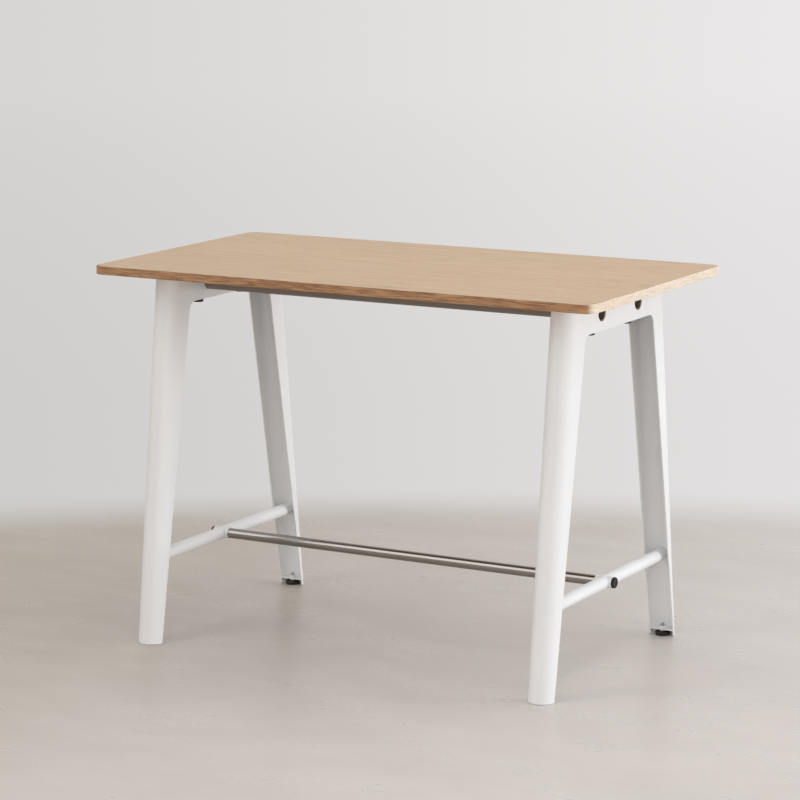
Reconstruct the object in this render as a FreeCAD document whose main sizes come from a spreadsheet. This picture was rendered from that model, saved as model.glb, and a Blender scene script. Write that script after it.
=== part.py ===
"""Standing meeting table: a veneered top on two end frames folded from steel sheet.

Axes: +X to the right along the long side, +Y to the rear, +Z up.
Origin: on the floor, at the middle of the table.  All lengths are millimetres.

Each end frame is two identical leg shells.  A shell is a sheet folded into a half-round
channel; its long skin and its short skin run on as an apron and butt against the skins
of the other shell, which is the same piece turned half a turn about the frame's middle.
"""
import FreeCAD, Part
import math
import os
import Sketcher

Vector = FreeCAD.Vector
Rotation = FreeCAD.Rotation
Placement = FreeCAD.Placement

X_AXIS = Vector(1, 0, 0)
Y_AXIS = Vector(0, 1, 0)
Z_AXIS = Vector(0, 0, 1)
UPRIGHT = Rotation(Z_AXIS, 0)
HALF_TURN = Rotation(Z_AXIS, 180)
ALONG_X = Rotation(Y_AXIS, 90)
AGAINST_X = Rotation(Y_AXIS, -90)

# Driving dimensions: alias, millimetres, what it measures.
DIMENSIONS = [
    ("table_height", 900, "floor to the top face"),
    ("top_length", 1300, "tabletop, along X"),
    ("top_width", 700, "tabletop, along Y"),
    ("top_thickness", 20, "tabletop"),
    ("corner_radius", 30, "tabletop corners, seen from above"),
    ("band_thickness", 2, "edge band round the tabletop"),
    ("band_arris", 0.8, "rounding of the band's outer edges"),
    ("end_overhang", 130, "tabletop beyond the middle of an end frame"),
    ("leg_width", 64, "leg section along X, and the diameter of its half round"),
    ("sheet_thickness", 3, "steel sheet of the leg shells"),
    ("shoulder_inset", 105, "leg's outer line inwards of the tabletop's edge, at its underside"),
    ("edge_foot_offset", 3, "leg's free edge outwards of its half round's centre, at the floor"),
    ("edge_shoulder_inset", 50, "the same line inwards of that centre, at the tabletop"),
    ("leg_ground_gap", 0.8, "leg shells' lower end above the floor"),
    ("apron_depth", 78, "skins between the legs, down from the tabletop"),
    ("apron_fillet", 22, "corner between a free edge and the apron"),
    ("seam_inset", 24, "butt seam inwards of the free edge's line, at the tabletop"),
    ("seam_gap", 0.8, "groove of the butt seam"),
    ("beam_inset", 68, "beam's middle inwards of the free edge's line, at the tabletop"),
    ("beam_width", 38, "beam trough, and the diameter of its round bottom"),
    ("beam_depth", 57, "beam trough, down from the tabletop"),
    ("beam_wall", 2.5, "steel sheet of the beams"),
    ("beam_bend", 2, "inner radius of the bends between a beam's trough and flanges"),
    ("beam_flange", 15, "width of a beam's flange under the tabletop"),
    ("beam_end_inset", 1.5, "beam end behind the end frame's outer face"),
    ("flange_end_gap", 18, "flange end short of the end frame's inner face"),
    ("notch_clearance", 0.5, "skin notches round the beams"),
    ("bridge_rise", 1, "bridge plate above the apron's lower edge"),
    ("bridge_thickness", 4, "bridge plate under a beam"),
    ("bridge_width", 44, "bridge plate along Y"),
    ("crossbar_height", 202.5, "middle of crossbar and footrest above the floor"),
    ("crossbar_diameter", 30, "crossbar tube"),
    ("crossbar_wall", 2, "crossbar tube"),
    ("footrest_diameter", 25, "footrest tube"),
    ("footrest_wall", 1.5, "footrest tube"),
    ("footrest_past_centre", 14, "footrest tube's end beyond the crossbar's middle"),
    ("sleeve_diameter", 27.5, "sleeve through the crossbar"),
    ("sleeve_clearance", 0.15, "sleeve bore round the footrest, on the radius"),
    ("sleeve_inboard", 21, "sleeve end inwards of the crossbar's middle"),
    ("sleeve_outboard", 21, "sleeve end outwards of the crossbar's middle"),
    ("plug_length", 12, "threaded plug in each footrest end"),
    ("cap_diameter", 25.5, "moulded head of a cap screw"),
    ("cap_thickness", 6.5, "moulded head of a cap screw"),
    ("cap_rounding", 1.8, "rim of the moulded head"),
    ("cap_lip", 4, "flat ring round the dish in the moulded head"),
    ("cap_dish", 0.5, "depth of that dish"),
    ("cap_neck_diameter", 14, "neck under the moulded head"),
    ("cap_neck_length", 6.5, "neck under the moulded head"),
    ("cap_stud_diameter", 8, "threaded stud of a cap screw"),
    ("cap_stud_length", 45, "threaded stud of a cap screw"),
    ("cap_stud_cover", 3.5, "moulding over the stud's end"),
    ("stud_hole_clearance", 0.3, "drilled holes round a cap screw's stud, on the radius"),
    ("thread_clearance", 0.1, "threaded bores round a stud, on the radius"),
    ("saddle_nut_length", 22, "half-round nut in the beam trough, along X"),
    ("saddle_nut_rise", 13, "half-round nut, trough bottom to its flat top"),
    ("wood_screw_margin", 170, "outer tabletop screws from the end of a beam's flange"),
    ("wood_screw_diameter", 4.5, "shank of a tabletop screw"),
    ("wood_screw_length", 17, "tabletop screw under its head"),
    ("wood_screw_head", 10, "head diameter of a tabletop screw"),
    ("wood_screw_head_height", 2.8, "head of a tabletop screw"),
    ("wood_screw_clearance", 0.1, "holes round a tabletop screw, on the radius"),
    ("foot_plate_height", 13.5, "foot plate above the floor"),
    ("foot_plate_thickness", 3, "foot plate"),
    ("foot_stud_offset", 8, "levelling foot outwards of the half round's centre, at the floor"),
    ("foot_stud_diameter", 8, "levelling foot's stud"),
    ("foot_stud_rise", 12.5, "stud end above the foot plate"),
    ("foot_nut_across", 13, "weld nut and stud hexagon, across flats"),
    ("foot_nut_height", 6.5, "weld nut"),
    ("foot_stop_gap", 0.3, "stud hexagon below the foot plate"),
    ("pad_side_gap", 11.5, "levelling pad clear of the skins beside it"),
    ("pad_height", 9, "levelling pad"),
    ("pad_rounding", 2, "levelling pad's upper rim"),
    ("pad_heel", 1.2, "chamfer of the levelling pad's lower rim"),
    ("journal_depth", 6, "stud end held in the levelling pad"),
    ("journal_clearance", 0.08, "pad bore round the stud, on the radius"),
]

# Relations that several pieces share, written as expressions on the sheet's cells.
UNDERSIDE = "(dim.table_height - dim.top_thickness)"
HALF_SPACING = "(dim.top_length / 2 - dim.end_overhang)"
HALF_LEG = "(dim.leg_width / 2)"
INNER_HALF_LEG = "(dim.leg_width / 2 - dim.sheet_thickness)"
FOOT_REACH = "(dim.top_width / 2)"
LEAN = f"(dim.shoulder_inset / {UNDERSIDE})"
LEG_CENTRE_REACH = f"({FOOT_REACH} - {HALF_LEG})"
EDGE_FOOT_REACH = f"({LEG_CENTRE_REACH} + dim.edge_foot_offset)"
EDGE_SHOULDER_REACH = f"({LEG_CENTRE_REACH} - dim.shoulder_inset - dim.edge_shoulder_inset)"
EDGE_LEAN = f"(({EDGE_FOOT_REACH} - {EDGE_SHOULDER_REACH}) / {UNDERSIDE})"
APRON_BOTTOM = f"({UNDERSIDE} - dim.apron_depth)"
SEAM_REACH = f"({EDGE_SHOULDER_REACH} - dim.seam_inset)"
BEAM_REACH = f"({EDGE_SHOULDER_REACH} - dim.beam_inset)"
TROUGH_RADIUS = "(dim.beam_width / 2)"
TROUGH_BORE = "(dim.beam_width / 2 - dim.beam_wall)"
TROUGH_CENTRE = f"({UNDERSIDE} - dim.beam_depth + dim.beam_width / 2)"
FLANGE_LINE = "(dim.beam_width / 2 + dim.beam_flange / 2)"
FLANGE_STOP = f"({HALF_SPACING} - {HALF_LEG} - dim.flange_end_gap)"
SCREW_STATION = f"({FLANGE_STOP} - dim.wood_screw_margin)"
BRIDGE_BOTTOM = f"({APRON_BOTTOM} + dim.bridge_rise)"
CAP_LEVEL = f"({BRIDGE_BOTTOM} - dim.cap_neck_length - dim.cap_thickness)"
STUD_HOLE = "(dim.cap_stud_diameter + 2 * dim.stud_hole_clearance)"
CAP_THREAD = "(dim.cap_stud_diameter + 2 * dim.thread_clearance)"
FOOT_THREAD = "(dim.foot_stud_diameter + 2 * dim.thread_clearance)"
FOOTREST_END = f"({HALF_SPACING} + dim.footrest_past_centre)"
FOOT_STUD_REACH = f"({LEG_CENTRE_REACH} + dim.foot_stud_offset)"
PAD_DIAMETER = f"(2 * ({INNER_HALF_LEG} - dim.pad_side_gap))"
WOOD_SCREW_HOLE = "(dim.wood_screw_diameter + 2 * dim.wood_screw_clearance)"
WELL_PAST = "(dim.table_height + dim.top_width)"

FRAMES = (("right", "+"), ("left", "-"))
CORNERS = [(f"{side}_{end}", x_sign, y_sign)
           for side, x_sign in FRAMES
           for end, y_sign in (("front", "-"), ("rear", "+"))]

doc = FreeCAD.newDocument("StandingMeetingTable")
sheet = doc.addObject("Spreadsheet::Sheet", "dim")
nodes = []


def fill_sheet():
    for row, (alias, length, meaning) in enumerate(DIMENSIONS, start=1):
        sheet.set(f"A{row}", meaning)
        sheet.set(f"B{row}", str(length))
        sheet.setAlias(f"B{row}", alias)
    doc.recompute()


def value(expression):
    return float(sheet.evalExpression(expression))


# --- sketches ------------------------------------------------------------------------


def new_sketch(body, role, name, lift=None):
    """A sketch on one of the body's own origin planes, lifted along Z if asked."""
    sketch = body.newObject("Sketcher::SketchObject", name)
    plane = next(item for item in body.Origin.OriginFeatures if item.Role == role)
    sketch.AttachmentSupport = (plane, [""])
    sketch.MapMode = "FlatFace"
    if lift:
        sketch.setExpression(".AttachmentOffset.Base.z", lift)
    return sketch


def lean_sketch_with_leg(sketch):
    """Square a sketch to the front leg: origin on its outer line, below the floor."""
    sketch.AttachmentOffset = Placement(Vector(0, 0, 0), Rotation(-X_AXIS, 1))
    sketch.setExpression(".AttachmentOffset.Base.y",
                         f"-({FOOT_REACH} + {LEAN} * dim.leg_width)")
    sketch.setExpression(".AttachmentOffset.Base.z", "-dim.leg_width")
    sketch.setExpression(".AttachmentOffset.Rotation.Angle", f"atan({LEAN})")


def bind_point(sketch, geometry, end, place):
    """Hold one point of a sketch at a pair of expressions."""
    for kind, expression in zip(("DistanceX", "DistanceY"), place):
        held = Sketcher.Constraint(kind, -1, 1, geometry, end, value(expression))
        number = sketch.addConstraint(held)
        sketch.setExpression(f"Constraints[{number}]", expression)


def add_outline(sketch, corners, bows=None):
    """Draw a closed outline through corners, each a pair of expressions.

    bows maps the number of a level span to "up" or "down": that span is a half circle
    bulging that way, and its centre stays level with its ends.
    """
    bows = bows or {}
    points = [Vector(value(x), value(y), 0) for x, y in corners]
    spans = []
    for index, start in enumerate(points):
        stop = points[(index + 1) % len(points)]
        ends = (1, 2)
        if index in bows:
            circle = Part.Circle((start + stop) / 2, Z_AXIS, start.distanceToPoint(stop) / 2)
            down = bows[index] == "down"
            first_angle = math.pi if down else 0
            geometry = Part.ArcOfCircle(circle, first_angle, first_angle + math.pi)
            if (stop.x > start.x) != down:
                ends = (2, 1)
        else:
            geometry = Part.LineSegment(start, stop)
        spans.append((sketch.addGeometry(geometry, False), *ends))
    for index, (number, first, last) in enumerate(spans):
        following, next_first, _ = spans[(index + 1) % len(spans)]
        sketch.addConstraint(
            Sketcher.Constraint("Coincident", number, last, following, next_first))
        bind_point(sketch, number, first, corners[index])
        if index in bows:
            level = corners[index][1]
            held = Sketcher.Constraint("DistanceY", -1, 1, number, 3, value(level))
            sketch.setExpression(f"Constraints[{sketch.addConstraint(held)}]", level)


def add_rectangle(sketch, left, right, bottom, top):
    add_outline(sketch, [(left, bottom), (right, bottom), (right, top), (left, top)])


def add_circle(sketch, centre, diameter):
    middle = Vector(value(centre[0]), value(centre[1]), 0)
    number = sketch.addGeometry(Part.Circle(middle, Z_AXIS, value(diameter) / 2), False)
    held = sketch.addConstraint(Sketcher.Constraint("Diameter", number, value(diameter)))
    sketch.setExpression(f"Constraints[{held}]", diameter)
    bind_point(sketch, number, 3, centre)


def add_hexagon(sketch, centre, across_flats):
    corners = []
    for turn in range(6):
        angle = math.radians(60 * turn)
        corners.append((f"{centre[0]} + {math.cos(angle):.6f} * {across_flats} / sqrt(3)",
                        f"{centre[1]} + {math.sin(angle):.6f} * {across_flats} / sqrt(3)"))
    add_outline(sketch, corners)


# --- features ------------------------------------------------------------------------


def new_node(label):
    body = doc.addObject("PartDesign::Body", label)
    body.Label = label
    nodes.append(body)
    return body


def place(body, x="0", y="0", z="0", rotation=UPRIGHT):
    body.Placement = Placement(Vector(0, 0, 0), rotation)
    for axis, expression in zip("xyz", (x, y, z)):
        body.setExpression(f".Placement.Base.{axis}", expression)


def pad(body, sketch, length, both_ways=False):
    feature = body.newObject("PartDesign::Pad", f"{sketch.Name}Pad")
    feature.Profile = sketch
    feature.SideType = "Symmetric" if both_ways else "One side"
    feature.setExpression("Length", length)
    doc.recompute()
    return feature


def pocket(body, sketch, length, both_ways=False, against_normal=False):
    """Cut a sketch away along its normal, or against it, and make sure that it cuts."""
    before = body.Tip.Shape.Volume
    feature = body.newObject("PartDesign::Pocket", f"{sketch.Name}Pocket")
    feature.Profile = sketch
    feature.SideType = "Symmetric" if both_ways else "One side"
    feature.Reversed = not against_normal
    feature.setExpression("Length", length)
    doc.recompute()
    if feature.Shape.Volume > before - 1e-3:
        raise RuntimeError(f"{feature.Name} of {body.Label} cuts nothing")
    return feature


def revolve(body, sketch):
    feature = body.newObject("PartDesign::Revolution", f"{sketch.Name}Turn")
    feature.Profile = sketch
    feature.ReferenceAxis = (sketch, ["V_Axis"])
    feature.Angle = 360
    doc.recompute()
    return feature


def mirror(body, feature, role):
    copy = body.newObject("PartDesign::Mirrored", f"{feature.Name}Mirrored")
    copy.Originals = [feature]
    plane = next(item for item in body.Origin.OriginFeatures if item.Role == role)
    copy.MirrorPlane = (plane, [""])
    body.Tip = copy
    doc.recompute()
    return copy


def fillet(body, wanted, radius):
    """Round the edges of the body's tip that wanted(edge) picks."""
    base = body.Tip
    names = [f"Edge{number}" for number, edge in enumerate(base.Shape.Edges, start=1)
             if wanted(edge)]
    if not names:
        raise RuntimeError(f"no edge of {body.Label} to round")
    feature = body.newObject("PartDesign::Fillet", f"{base.Name}Fillet")
    feature.Base = (base, names)
    feature.setExpression("Radius", radius)
    doc.recompute()
    return feature


def lies_along(edge, axis):
    if not isinstance(edge.Curve, Part.Line):
        return False
    return abs(edge.tangentAt(edge.FirstParameter).dot(axis)) > 0.999


def is_near(first, second):
    return abs(first - second) < 0.01


# --- tabletop ------------------------------------------------------------------------


def wood_screw_places():
    stations = [f"{step} * {SCREW_STATION}" for step in (-1, 0, 1)]
    lines = [f"{beam}{BEAM_REACH} {flange} {FLANGE_LINE}"
             for beam in ("-", "") for flange in ("-", "+")]
    return [(station, line) for station in stations for line in lines]


def tabletop_panel():
    body = new_node("tabletop_panel")
    half_length = "(dim.top_length / 2 - dim.band_thickness)"
    half_width = "(dim.top_width / 2 - dim.band_thickness)"
    board = new_sketch(body, "XY_Plane", "Board", UNDERSIDE)
    add_rectangle(board, f"-{half_length}", half_length, f"-{half_width}", half_width)
    pad(body, board, "dim.top_thickness")
    fillet(body, lambda edge: lies_along(edge, Z_AXIS),
           "dim.corner_radius - dim.band_thickness")
    pilots = new_sketch(body, "XY_Plane", "Pilots", UNDERSIDE)
    for centre in wood_screw_places():
        add_circle(pilots, centre, WOOD_SCREW_HOLE)
    pocket(body, pilots, "dim.wood_screw_length - dim.beam_wall")


def tabletop_edge_band():
    body = new_node("tabletop_edge_band")
    ring = new_sketch(body, "XY_Plane", "Ring", UNDERSIDE)
    for inset in ("0", "dim.band_thickness"):
        half_length = f"(dim.top_length / 2 - {inset})"
        half_width = f"(dim.top_width / 2 - {inset})"
        add_rectangle(ring, f"-{half_length}", half_length, f"-{half_width}", half_width)
    pad(body, ring, "dim.top_thickness")
    outer_corner = value("dim.top_length / 2")

    def is_outer_corner(edge):
        return lies_along(edge, Z_AXIS) and is_near(abs(edge.CenterOfMass.x), outer_corner)

    def is_inner_corner(edge):
        return lies_along(edge, Z_AXIS) and abs(edge.CenterOfMass.y) < value(
            "dim.top_width / 2 - dim.band_thickness / 2") and is_near(
                abs(edge.CenterOfMass.x), value("dim.top_length / 2 - dim.band_thickness"))

    def is_outer_rim(edge):
        box = edge.BoundBox
        reach_x = max(abs(box.XMin), abs(box.XMax))
        reach_y = max(abs(box.YMin), abs(box.YMax))
        outside = is_near(reach_x, outer_corner) or is_near(reach_y, value("dim.top_width / 2"))
        return outside and box.ZLength < 0.01

    fillet(body, is_outer_corner, "dim.corner_radius")
    fillet(body, is_inner_corner, "dim.corner_radius - dim.band_thickness")
    fillet(body, is_outer_rim, "dim.band_arris")


def wood_screws():
    body = new_node("tabletop_screws")
    heads = new_sketch(body, "XY_Plane", "Heads",
                       f"{UNDERSIDE} - dim.beam_wall - dim.wood_screw_head_height")
    shanks = new_sketch(body, "XY_Plane", "Shanks", f"{UNDERSIDE} - dim.beam_wall")
    for centre in wood_screw_places():
        add_circle(heads, centre, "dim.wood_screw_head")
        add_circle(shanks, centre, "dim.wood_screw_diameter")
    pad(body, heads, "dim.wood_screw_head_height")
    pad(body, shanks, "dim.wood_screw_length")


# --- end frames ----------------------------------------------------------------------


def leg_outline(sketch, radius, reach):
    """A half round on the leg's outer line with straight skins reaching inboard."""
    add_outline(sketch, [(f"-{radius}", HALF_LEG), (radius, HALF_LEG),
                         (radius, reach), (f"-{radius}", reach)], {0: "down"})


def leg_shell(label, x, rotation):
    """One folded sheet: half-round leg, free edges, long apron skin on +X, short on -X."""
    body = new_node(label)
    block = new_sketch(body, "XY_Plane", "Fold")
    lean_sketch_with_leg(block)
    leg_outline(block, HALF_LEG, WELL_PAST)
    pad(body, block, WELL_PAST)
    channel = new_sketch(body, "XY_Plane", "Channel")
    lean_sketch_with_leg(channel)
    leg_outline(channel, INNER_HALF_LEG, f"{WELL_PAST} + dim.leg_width")
    pocket(body, channel, WELL_PAST)

    windows = (("LongSkin", f"({SEAM_REACH} - dim.seam_gap / 2)", False),
               ("ShortSkin", f"-({SEAM_REACH} + dim.seam_gap / 2)", True))
    for name, apron_end, against_normal in windows:
        window = new_sketch(body, "YZ_Plane", name)
        add_outline(window, [
            (f"-({EDGE_FOOT_REACH} + {EDGE_LEAN} * {WELL_PAST})", f"-{WELL_PAST}"),
            (f"-({EDGE_FOOT_REACH} - {EDGE_LEAN} * {APRON_BOTTOM})", APRON_BOTTOM),
            (apron_end, APRON_BOTTOM),
            (apron_end, f"{UNDERSIDE} + {WELL_PAST}"),
            (f"2 * {WELL_PAST}", f"{UNDERSIDE} + {WELL_PAST}"),
            (f"2 * {WELL_PAST}", f"-{WELL_PAST}")])
        pocket(body, window, "dim.leg_width", against_normal=against_normal)

    ends = new_sketch(body, "YZ_Plane", "Ends")
    add_rectangle(ends, f"-{WELL_PAST}", WELL_PAST, f"-{WELL_PAST}", "dim.leg_ground_gap")
    add_rectangle(ends, f"-{WELL_PAST}", WELL_PAST, UNDERSIDE, f"{UNDERSIDE} + {WELL_PAST}")
    pocket(body, ends, "2 * dim.leg_width", both_ways=True)

    apron_bottom = value(APRON_BOTTOM)
    corner = value(f"-({EDGE_FOOT_REACH} - {EDGE_LEAN} * {APRON_BOTTOM})")
    fillet(body, lambda edge: lies_along(edge, X_AXIS)
           and is_near(edge.CenterOfMass.z, apron_bottom)
           and is_near(edge.CenterOfMass.y, corner), "dim.apron_fillet")

    notches = new_sketch(body, "YZ_Plane", "Notches")
    half_notch = f"({TROUGH_RADIUS} + dim.notch_clearance)"
    for sign in ("-", ""):
        left = f"{sign}{BEAM_REACH} - {half_notch}"
        right = f"{sign}{BEAM_REACH} + {half_notch}"
        top = f"{UNDERSIDE} + dim.beam_depth"
        add_outline(notches, [(left, TROUGH_CENTRE), (right, TROUGH_CENTRE),
                              (right, top), (left, top)], {0: "down"})
    pocket(body, notches, "dim.leg_width")
    place(body, x=x, rotation=rotation)


def cut_to_leg_inside(body):
    """Cut a piece to the front leg's half-round inner face, where it is welded."""
    outside = new_sketch(body, "XY_Plane", "LegInside")
    lean_sketch_with_leg(outside)
    side = f"({INNER_HALF_LEG} + dim.leg_width)"
    add_outline(outside, [(f"-{INNER_HALF_LEG}", HALF_LEG), (INNER_HALF_LEG, HALF_LEG),
                          (side, HALF_LEG), (side, f"-{WELL_PAST}"),
                          (f"-{side}", f"-{WELL_PAST}"), (f"-{side}", HALF_LEG)],
                {0: "down"})
    return pocket(body, outside, WELL_PAST)


def crossbar(label, x):
    body = new_node(label)
    tube = new_sketch(body, "XZ_Plane", "Tube")
    middle = ("0", "dim.crossbar_height")
    add_circle(tube, middle, "dim.crossbar_diameter")
    add_circle(tube, middle, "dim.crossbar_diameter - 2 * dim.crossbar_wall")
    pad(body, tube, f"2 * {FOOT_REACH}", both_ways=True)
    front_end = cut_to_leg_inside(body)
    mirror(body, front_end, "XZ_Plane")
    hole = new_sketch(body, "YZ_Plane", "SleeveHole")
    add_circle(hole, middle, "dim.sleeve_diameter")
    pocket(body, hole, "2 * dim.crossbar_diameter", both_ways=True)
    place(body, x=x)


def foot_plate(label, x, rotation):
    body = new_node(label)
    plate = new_sketch(body, "XY_Plane", "Plate", "dim.foot_plate_height")
    front = f"-({EDGE_FOOT_REACH} - {EDGE_LEAN} * dim.foot_plate_height)"
    add_rectangle(plate, f"-{INNER_HALF_LEG}", INNER_HALF_LEG,
                  f"-({FOOT_REACH} + dim.leg_width)", front)
    add_circle(plate, ("0", f"-{FOOT_STUD_REACH}"),
               "dim.foot_stud_diameter + 2 * dim.stud_hole_clearance")
    pad(body, plate, "dim.foot_plate_thickness")
    cut_to_leg_inside(body)
    place(body, x=x, rotation=rotation)


def beam_bridge(label, x, y):
    """Plate welded between the two skins, carrying the screw that holds a beam down."""
    body = new_node(label)
    plate = new_sketch(body, "XY_Plane", "Plate")
    add_rectangle(plate, f"-{INNER_HALF_LEG}", INNER_HALF_LEG,
                  "-dim.bridge_width / 2", "dim.bridge_width / 2")
    add_circle(plate, ("0", "0"), STUD_HOLE)
    pad(body, plate, "dim.bridge_thickness")
    place(body, x=x, y=y, z=BRIDGE_BOTTOM)


# --- beams ---------------------------------------------------------------------------


def beam(label, y):
    """Round-bottomed trough with a flange on each side, open towards the tabletop."""
    body = new_node(label)
    section = new_sketch(body, "YZ_Plane", "Section")
    brim = f"({TROUGH_RADIUS} + dim.beam_flange)"
    flange_bottom = f"({UNDERSIDE} - dim.beam_wall)"
    add_outline(section, [
        (f"-{brim}", UNDERSIDE), (f"-{brim}", flange_bottom),
        (f"-{TROUGH_RADIUS}", flange_bottom), (f"-{TROUGH_RADIUS}", TROUGH_CENTRE),
        (TROUGH_RADIUS, TROUGH_CENTRE), (TROUGH_RADIUS, flange_bottom),
        (brim, flange_bottom), (brim, UNDERSIDE),
        (TROUGH_BORE, UNDERSIDE), (TROUGH_BORE, TROUGH_CENTRE),
        (f"-{TROUGH_BORE}", TROUGH_CENTRE), (f"-{TROUGH_BORE}", UNDERSIDE)],
        {3: "down", 9: "down"})
    pad(body, section, f"2 * ({HALF_SPACING} + {HALF_LEG} - dim.beam_end_inset)",
        both_ways=True)
    for reach, level, radius in ((TROUGH_RADIUS, flange_bottom, "dim.beam_bend"),
                                 (TROUGH_BORE, UNDERSIDE, "dim.beam_bend + dim.beam_wall")):
        fillet(body, lambda edge: lies_along(edge, X_AXIS)
               and is_near(abs(edge.CenterOfMass.y), value(reach))
               and is_near(edge.CenterOfMass.z, value(level)), radius)

    trims = new_sketch(body, "XY_Plane", "FlangeEnds")
    for x_sign in ("-", ""):
        for y_sign in ("-", ""):
            near, far = f"{x_sign}{FLANGE_STOP}", f"{x_sign}{WELL_PAST}"
            inner, outer = f"{y_sign}{TROUGH_RADIUS}", f"{y_sign}2 * {brim}"
            add_rectangle(trims, near, far, inner, outer)
    pocket(body, trims, WELL_PAST)

    holes = new_sketch(body, "XY_Plane", "Holes")
    for sign in ("-", ""):
        add_circle(holes, (f"{sign}{HALF_SPACING}", "0"), STUD_HOLE)
        for step in (-1, 0, 1):
            add_circle(holes, (f"{step} * {SCREW_STATION}", f"{sign}{FLANGE_LINE}"),
                       WOOD_SCREW_HOLE)
    pocket(body, holes, WELL_PAST)
    place(body, y=y)


def beam_saddle_nuts():
    """Threaded half-round blocks lying in the troughs above the bridge plates."""
    body = new_node("beam_saddle_nuts")
    for name, x_sign in (("RightEnd", ""), ("LeftEnd", "-")):
        section = new_sketch(body, "YZ_Plane", name)
        section.setExpression(".AttachmentOffset.Base.z", f"{x_sign}{HALF_SPACING}")
        for y_sign in ("-", ""):
            left = f"{y_sign}{BEAM_REACH} - {TROUGH_BORE}"
            right = f"{y_sign}{BEAM_REACH} + {TROUGH_BORE}"
            add_outline(section, [(left, TROUGH_CENTRE), (right, TROUGH_CENTRE)],
                        {0: "down"})
        pad(body, section, "dim.saddle_nut_length", both_ways=True)
    crowns = new_sketch(body, "XY_Plane", "Crowns",
                        f"{TROUGH_CENTRE} - {TROUGH_BORE} + dim.saddle_nut_rise")
    add_rectangle(crowns, f"-{WELL_PAST}", WELL_PAST, f"-{WELL_PAST}", WELL_PAST)
    pocket(body, crowns, "dim.beam_depth")
    threads = new_sketch(body, "XY_Plane", "Threads")
    for x_sign in ("-", ""):
        for y_sign in ("-", ""):
            add_circle(threads, (f"{x_sign}{HALF_SPACING}", f"{y_sign}{BEAM_REACH}"),
                       CAP_THREAD)
    pocket(body, threads, WELL_PAST)


# --- footrest and cap screws ---------------------------------------------------------


def round_piece(label, diameter, bore, length):
    """A tube, or a rod where bore is None, along its own Z axis from the origin."""
    body = new_node(label)
    section = new_sketch(body, "XY_Plane", "Section")
    add_circle(section, ("0", "0"), diameter)
    if bore:
        add_circle(section, ("0", "0"), bore)
    pad(body, section, length)
    return body


def screw_cap(label):
    """Moulded head, outer face at the origin, with its neck towards +Z."""
    body = new_node(label)
    profile = new_sketch(body, "XZ_Plane", "Profile")
    rim = "dim.cap_diameter / 2"
    neck = "dim.cap_neck_diameter / 2"
    bore = "dim.cap_stud_diameter / 2"
    neck_end = "dim.cap_thickness + dim.cap_neck_length"
    dish = f"({rim} - dim.cap_lip)"
    add_outline(profile, [("0", "dim.cap_dish"), (f"{dish} - dim.cap_dish", "dim.cap_dish"),
                          (dish, "0"), (rim, "0"), (rim, "dim.cap_thickness"),
                          (neck, "dim.cap_thickness"), (neck, neck_end), (bore, neck_end),
                          (bore, "dim.cap_stud_cover"), ("0", "dim.cap_stud_cover")])
    revolve(body, profile)
    rim_radius = value(rim)
    fillet(body, lambda edge: isinstance(edge.Curve, Part.Circle)
           and is_near(edge.Curve.Radius, rim_radius), "dim.cap_rounding")
    return body


def footrest():
    place(round_piece("footrest_tube", "dim.footrest_diameter",
                      "dim.footrest_diameter - 2 * dim.footrest_wall",
                      f"2 * {FOOTREST_END}"),
          x=f"-{FOOTREST_END}", z="dim.crossbar_height", rotation=ALONG_X)
    for side, sign in FRAMES:
        inwards = AGAINST_X if sign == "+" else ALONG_X
        sleeve_end = f"{sign}({HALF_SPACING} + dim.sleeve_outboard)"
        cap_face = f"{sign}({HALF_SPACING} + dim.sleeve_outboard + dim.cap_thickness)"
        stud_end = (f"{sign}({HALF_SPACING} + dim.sleeve_outboard + dim.cap_thickness"
                    " - dim.cap_stud_cover)")
        place(round_piece(f"{side}_footrest_sleeve", "dim.sleeve_diameter",
                          "dim.footrest_diameter + 2 * dim.sleeve_clearance",
                          "dim.sleeve_inboard + dim.sleeve_outboard"),
              x=sleeve_end, z="dim.crossbar_height", rotation=inwards)
        place(round_piece(f"{side}_footrest_plug",
                          "dim.footrest_diameter - 2 * dim.footrest_wall", CAP_THREAD,
                          "dim.plug_length"),
              x=f"{sign}{FOOTREST_END}", z="dim.crossbar_height", rotation=inwards)
        place(screw_cap(f"{side}_footrest_cap"),
              x=cap_face, z="dim.crossbar_height", rotation=inwards)
        place(round_piece(f"{side}_footrest_stud", "dim.cap_stud_diameter", None,
                          "dim.cap_stud_length"),
              x=stud_end, z="dim.crossbar_height", rotation=inwards)


def beam_cap_studs():
    body = new_node("beam_cap_studs")
    studs = new_sketch(body, "XY_Plane", "Studs", f"{CAP_LEVEL} + dim.cap_stud_cover")
    for x_sign in ("-", ""):
        for y_sign in ("-", ""):
            add_circle(studs, (f"{x_sign}{HALF_SPACING}", f"{y_sign}{BEAM_REACH}"),
                       "dim.cap_stud_diameter")
    pad(body, studs, "dim.cap_stud_length")


# --- levelling feet ------------------------------------------------------------------


def foot_weld_nuts():
    body = new_node("foot_weld_nuts")
    nuts = new_sketch(body, "XY_Plane", "Nuts",
                      "dim.foot_plate_height + dim.foot_plate_thickness")
    for x_sign in ("-", ""):
        for y_sign in ("-", ""):
            centre = (f"{x_sign}{HALF_SPACING}", f"{y_sign}{FOOT_STUD_REACH}")
            add_hexagon(nuts, centre, "dim.foot_nut_across")
            add_circle(nuts, centre, FOOT_THREAD)
    pad(body, nuts, "dim.foot_nut_height")


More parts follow.
